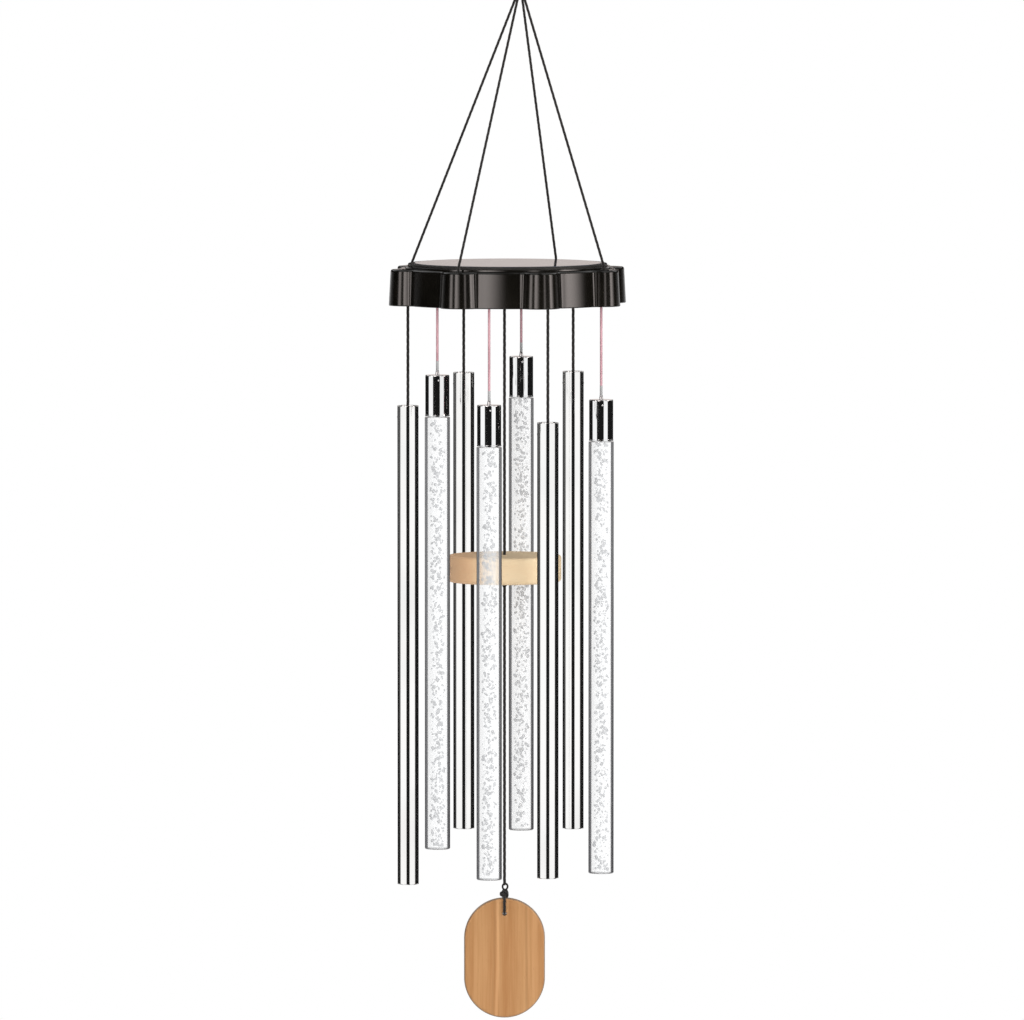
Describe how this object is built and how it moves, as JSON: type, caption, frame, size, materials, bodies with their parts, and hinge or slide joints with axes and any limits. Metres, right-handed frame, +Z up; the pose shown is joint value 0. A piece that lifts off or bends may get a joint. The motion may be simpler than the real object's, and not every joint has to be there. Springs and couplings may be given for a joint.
{
  "type": "solar wind chime",
  "caption": "Hanging wind chime with a scalloped solar canopy, metal chime tubes and clear light rods round a wooden striker, and a wooden wind catcher on the middle cord.",
  "frame": {"origin": "inside of the upper bend of the S hook, where the chime hangs on its support", "axes": "+Z up, -Y to the front, +X to the right seen from the front"},
  "size_m": [0.1196, 0.1196, 0.571],
  "materials": {
    "steel": "bright zinc-plated steel wire",
    "polished_tube": "polished and clear anodised",
    "chrome_cap": "mirror chrome plate",
    "cord": "braided black polyester",
    "pink_wire": "pale red insulated hook-up wire",
    "canopy": "glossy espresso moulded plastic",
    "solar_cell": "dark solar cell under clear resin",
    "inner_plastic": "satin black moulded plastic",
    "battery": "plain green shrink sleeve",
    "board": "green solder mask",
    "switch": "satin black",
    "clear_acrylic": "clear cast acrylic with seeded bubbles",
    "led": "milky lamp lens",
    "maple": "pale turned wood, thin clear lacquer",
    "alder": "warm brown wood, thin clear lacquer"
  },
  "bodies": {
    "hook": {"s_hook": "steel"},
    "canopy": {"hang_ring": "steel", "ring_knot": "cord", "suspension_cord_1": "cord", "suspension_cord_2": "cord", "suspension_cord_3": "cord", "suspension_cord_4": "cord", "canopy_shell": "canopy", "panel_bezel": "canopy", "solar_panel": "solar_cell", "base_plate": "inner_plastic", "base_screw_1": "steel", "base_screw_2": "steel", "base_screw_3": "steel", "base_screw_4": "steel", "battery_holder": "inner_plastic", "battery_cell": "battery", "circuit_board": "board", "switch_body": "switch"},
    "switch_knob": {"switch_knob": "switch"},
    "tube_1": {"chime_tube_1": "polished_tube", "tube_pin_1": "steel", "tube_string_1": "cord"},
    "tube_2": {"chime_tube_2": "polished_tube", "tube_pin_2": "steel", "tube_string_2": "cord"},
    "tube_3": {"chime_tube_3": "polished_tube", "tube_pin_3": "steel", "tube_string_3": "cord"},
    "tube_4": {"chime_tube_4": "polished_tube", "tube_pin_4": "steel", "tube_string_4": "cord"},
    "rod_1": {"crystal_rod_1": "clear_acrylic", "rod_cap_1": "chrome_cap", "rod_led_1": "led", "rod_wire_1": "pink_wire"},
    "rod_2": {"crystal_rod_2": "clear_acrylic", "rod_cap_2": "chrome_cap", "rod_led_2": "led", "rod_wire_2": "pink_wire"},
    "rod_3": {"crystal_rod_3": "clear_acrylic", "rod_cap_3": "chrome_cap", "rod_led_3": "led", "rod_wire_3": "pink_wire"},
    "rod_4": {"crystal_rod_4": "clear_acrylic", "rod_cap_4": "chrome_cap", "rod_led_4": "led", "rod_wire_4": "pink_wire"},
    "striker": {"striker_cord": "cord", "striker": "maple", "striker_knot": "cord"},
    "catcher_line": {"catcher_cord": "cord"},
    "catcher": {"catcher_knot": "cord", "catcher_loop": "cord", "wind_catcher": "alder"}
  },
  "joints": [
    {"name": "canopy_swing", "type": "hinge", "parent": "hook", "child": "canopy", "pos_m": [0, 0, -0.0313], "axis": [0, 1, 0], "range_deg": [-15, 15]},
    {"name": "tube_1_swing", "type": "hinge", "parent": "canopy", "child": "tube_1", "pos_m": [-0.05691, 0.00629, -0.2048], "axis": [1, 0, 0], "range_deg": [-15, 15]},
    {"name": "tube_2_swing", "type": "hinge", "parent": "canopy", "child": "tube_2", "pos_m": [-0.02879, 0.04571, -0.2048], "axis": [1, 0, 0], "range_deg": [-7, 15]},
    {"name": "tube_3_swing", "type": "hinge", "parent": "canopy", "child": "tube_3", "pos_m": [0.01381, -0.04671, -0.2048], "axis": [1, 0, 0], "range_deg": [-15, 7]},
    {"name": "tube_4_swing", "type": "hinge", "parent": "canopy", "child": "tube_4", "pos_m": [0.02693, 0.03847, -0.2048], "axis": [1, 0, 0], "range_deg": [-11, 15]},
    {"name": "rod_1_swing", "type": "hinge", "parent": "canopy", "child": "rod_1", "pos_m": [-0.04176, -0.03661, -0.2048], "axis": [1, 0, 0], "range_deg": [-15, 10]},
    {"name": "rod_2_swing", "type": "hinge", "parent": "canopy", "child": "rod_2", "pos_m": [-0.01568, -0.05005, -0.2048], "axis": [1, 0, 0], "range_deg": [-15, 5.5]},
    {"name": "rod_3_swing", "type": "hinge", "parent": "canopy", "child": "rod_3", "pos_m": [0.00051, 0.05043, -0.2048], "axis": [1, 0, 0], "range_deg": [-5.5, 15]},
    {"name": "rod_4_swing", "type": "hinge", "parent": "canopy", "child": "rod_4", "pos_m": [0.04079, -0.01907, -0.2048], "axis": [1, 0, 0], "range_deg": [-15, 15]},
    {"name": "striker_swing", "type": "hinge", "parent": "canopy", "child": "striker", "pos_m": [-0.008, 0, -0.2048], "axis": [1, 0, 0], "range_deg": [-5.8, 5.8]},
    {"name": "catcher_swing", "type": "hinge", "parent": "striker", "child": "catcher_line", "pos_m": [-0.008, 0, -0.3517], "axis": [1, 0, 0], "range_deg": [-12, 12]},
    {"name": "catcher_spin", "type": "hinge", "parent": "catcher_line", "child": "catcher", "pos_m": [-0.008, 0, -0.5045], "axis": [0, 0, 1], "range_deg": [-180, 180]},
    {"name": "switch_slide", "type": "slide", "parent": "canopy", "child": "switch_knob", "axis": [1, 0, 0], "range_m": [0, 0.002]}
  ]
}
